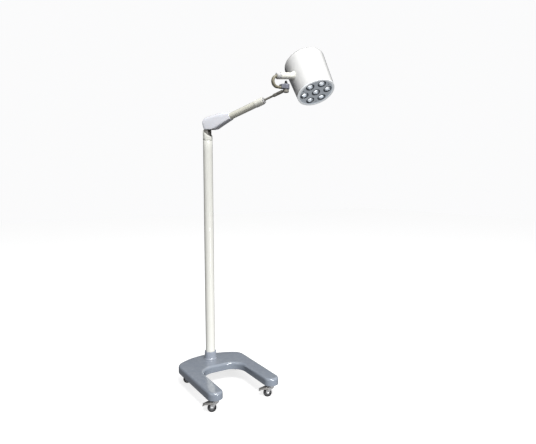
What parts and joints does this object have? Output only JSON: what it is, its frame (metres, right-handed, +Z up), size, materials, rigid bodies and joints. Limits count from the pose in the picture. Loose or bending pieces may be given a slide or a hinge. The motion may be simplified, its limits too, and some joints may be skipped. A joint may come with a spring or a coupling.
{
  "type": "surgical light",
  "caption": "Mobile surgical light: U-shaped base on swivel casters, round column, spring-balanced swivelling arm and a bell-shaped tilting lamp with a round field of light cups.",
  "frame": {"origin": "on the floor, at the centre of the box around the whole light at rest", "axes": "+Z up; -Y from the column towards the tips of the base's two legs; +X to the right seen from the leg side"},
  "size_m": [0.8218, 0.7324, 2.0581],
  "materials": {
    "base_paint": "glossy blue-grey enamel",
    "frame_paint": "black primer",
    "zinc": "zinc-plated sheet",
    "iron": "raw casting",
    "screw_steel": "zinc-plated",
    "socket_paint": "glossy blue-grey enamel",
    "bright_steel": "turned",
    "column_paint": "satin cream powder coat",
    "black_nylon": "moulded nylon",
    "dark_casting": "black-grey paint",
    "arm_paint": "satin cream powder coat",
    "collar_plastic": "moulded",
    "cover_plastic": "pale lilac-grey moulding",
    "spring_steel": "oiled spring steel",
    "rod_steel": "satin",
    "gunmetal": "blued",
    "bracket_paint": "satin cream powder coat",
    "cap_plastic": "moulded",
    "boss_paint": "satin cream powder coat",
    "lamp_white": "gloss white",
    "bezel_white": "gloss white",
    "panel_grey": "satin blue-grey",
    "reflector_mirror": "vapour-coated",
    "lens_clear": "clear moulding",
    "board_alu": "white solder mask",
    "led_chip": "phosphor",
    "sink_alu": "extruded",
    "button_grey": "moulded",
    "caster_steel": "bright plated",
    "hub_plastic": "moulded",
    "tyre_rubber": "smooth tread",
    "lever_steel": "zinc-plated pressing"
  },
  "bodies": {
    "base": {"base_shell": "base_paint", "base_frame": "frame_paint", "base_plate": "zinc", "ballast": "iron", "plate_screws": "screw_steel", "column_socket": "socket_paint", "socket_bolts": "screw_steel", "caster_stems": "bright_steel", "column_tube": "column_paint", "column_bushes": "black_nylon"},
    "front_left_swivel": {"fl_fork": "caster_steel", "fl_axle": "screw_steel"},
    "front_left_wheel": {"fl_wheel": "hub_plastic", "fl_tyre": "tyre_rubber"},
    "front_left_brake": {"fl_brake": "lever_steel"},
    "front_right_swivel": {"fr_fork": "caster_steel", "fr_axle": "screw_steel"},
    "front_right_wheel": {"fr_wheel": "hub_plastic", "fr_tyre": "tyre_rubber"},
    "front_right_brake": {"fr_brake": "lever_steel"},
    "rear_left_swivel": {"rl_fork": "caster_steel", "rl_axle": "screw_steel"},
    "rear_left_wheel": {"rl_wheel": "hub_plastic", "rl_tyre": "tyre_rubber"},
    "rear_right_swivel": {"rr_fork": "caster_steel", "rr_axle": "screw_steel"},
    "rear_right_wheel": {"rr_wheel": "hub_plastic", "rr_tyre": "tyre_rubber"},
    "turret": {"turret_sleeve": "column_paint", "elbow_clevis": "dark_casting", "elbow_pin": "bright_steel"},
    "arm": {"arm_root": "dark_casting", "arm_tube": "arm_paint", "arm_collar": "collar_plastic", "cover_left": "cover_plastic", "cover_right": "cover_plastic", "cover_screws": "screw_steel", "balance_spring": "spring_steel", "spring_rod": "bright_steel"},
    "clamp_ring": {"collar_ring": "cap_plastic"},
    "rod": {"arm_rod": "rod_steel", "rod_block": "gunmetal", "swivel_pin": "bright_steel"},
    "bracket": {"swivel_barrel": "gunmetal", "head_bracket": "bracket_paint"},
    "lamp": {"tilt_shaft": "bright_steel", "head_boss": "boss_paint", "head_shell": "lamp_white", "bezel": "bezel_white", "front_panel": "panel_grey", "reflectors": "reflector_mirror", "lenses": "lens_clear", "led_board": "board_alu", "leds": "led_chip", "heat_sink": "sink_alu", "head_screws": "screw_steel"},
    "button": {"power_button": "button_grey"}
  },
  "joints": [
    {"name": "front_left_swivel_turn", "type": "hinge", "parent": "base", "child": "front_left_swivel", "pos_m": [-0.33556, -0.19283, 0.065], "axis": [0, 0, 1], "continuous": true},
    {"name": "front_left_wheel_roll", "type": "hinge", "parent": "front_left_swivel", "child": "front_left_wheel", "pos_m": [-0.35634, -0.18083, 0.025], "axis": [-0.5, -0.866, 0], "continuous": true},
    {"name": "front_left_brake_lever", "type": "hinge", "parent": "front_left_swivel", "child": "front_left_brake", "pos_m": [-0.35288, -0.18283, 0.051], "axis": [0.5, 0.866, 0], "range_deg": [0, 14]},
    {"name": "front_right_swivel_turn", "type": "hinge", "parent": "base", "child": "front_right_swivel", "pos_m": [0.02844, -0.19283, 0.065], "axis": [0, 0, 1], "continuous": true},
    {"name": "front_right_wheel_roll", "type": "hinge", "parent": "front_right_swivel", "child": "front_right_wheel", "pos_m": [0.00831, -0.17975, 0.025], "axis": [-0.5446, -0.8387, 0], "continuous": true},
    {"name": "front_right_brake_lever", "type": "hinge", "parent": "front_right_swivel", "child": "front_right_brake", "pos_m": [0.01167, -0.18193, 0.051], "axis": [0.5446, 0.8387, 0], "range_deg": [0, 14]},
    {"name": "rear_left_swivel_turn", "type": "hinge", "parent": "base", "child": "rear_left_swivel", "pos_m": [-0.34756, 0.26717, 0.065], "axis": [0, 0, 1], "continuous": true},
    {"name": "rear_left_wheel_roll", "type": "hinge", "parent": "rear_left_swivel", "child": "rear_left_wheel", "pos_m": [-0.32677, 0.25517, 0.025], "axis": [0.5, 0.866, 0], "continuous": true},
    {"name": "rear_right_swivel_turn", "type": "hinge", "parent": "base", "child": "rear_right_swivel", "pos_m": [0.04044, 0.26717, 0.065], "axis": [0, 0, 1], "continuous": true},
    {"name": "rear_right_wheel_roll", "type": "hinge", "parent": "rear_right_swivel", "child": "rear_right_wheel", "pos_m": [0.03627, 0.29081, 0.025], "axis": [-0.9848, -0.1736, 0], "continuous": true},
    {"name": "arm_swivel", "type": "hinge", "parent": "base", "child": "turret", "pos_m": [-0.15356, 0.27517, 1.5415], "axis": [0, 0, 1], "range_deg": [-170, 170]},
    {"name": "arm_lift", "type": "hinge", "parent": "turret", "child": "arm", "pos_m": [-0.15356, 0.27517, 1.622], "axis": [-0.866, -0.5, 0], "range_deg": [-45, 20]},
    {"name": "clamp_ring_turn", "type": "hinge", "parent": "arm", "child": "clamp_ring", "pos_m": [0.05033, -0.07797, 1.75844], "axis": [0.4742, -0.8213, 0.3173], "range_deg": [-40, 40]},
    {"name": "rod_roll", "type": "hinge", "parent": "arm", "child": "rod", "pos_m": [0.05033, -0.07797, 1.75844], "axis": [0.4742, -0.8213, 0.3173], "range_deg": [-90, 90]},
    {"name": "lamp_swivel", "type": "hinge", "parent": "rod", "child": "bracket", "pos_m": [0.12288, -0.20363, 1.80699], "axis": [0, 0, 1], "range_deg": [-150, 45]},
    {"name": "lamp_tilt", "type": "hinge", "parent": "bracket", "child": "lamp", "pos_m": [0.09395, -0.20363, 1.88161], "axis": [0.9945, 0, 0.1045], "range_deg": [-58, 60]},
    {"name": "power_button_press", "type": "slide", "parent": "lamp", "child": "button", "axis": [0.8899, -0.4104, 0.1989], "range_m": [0, 0.0015], "stiffness_N_per_m": 800}
  ]
}
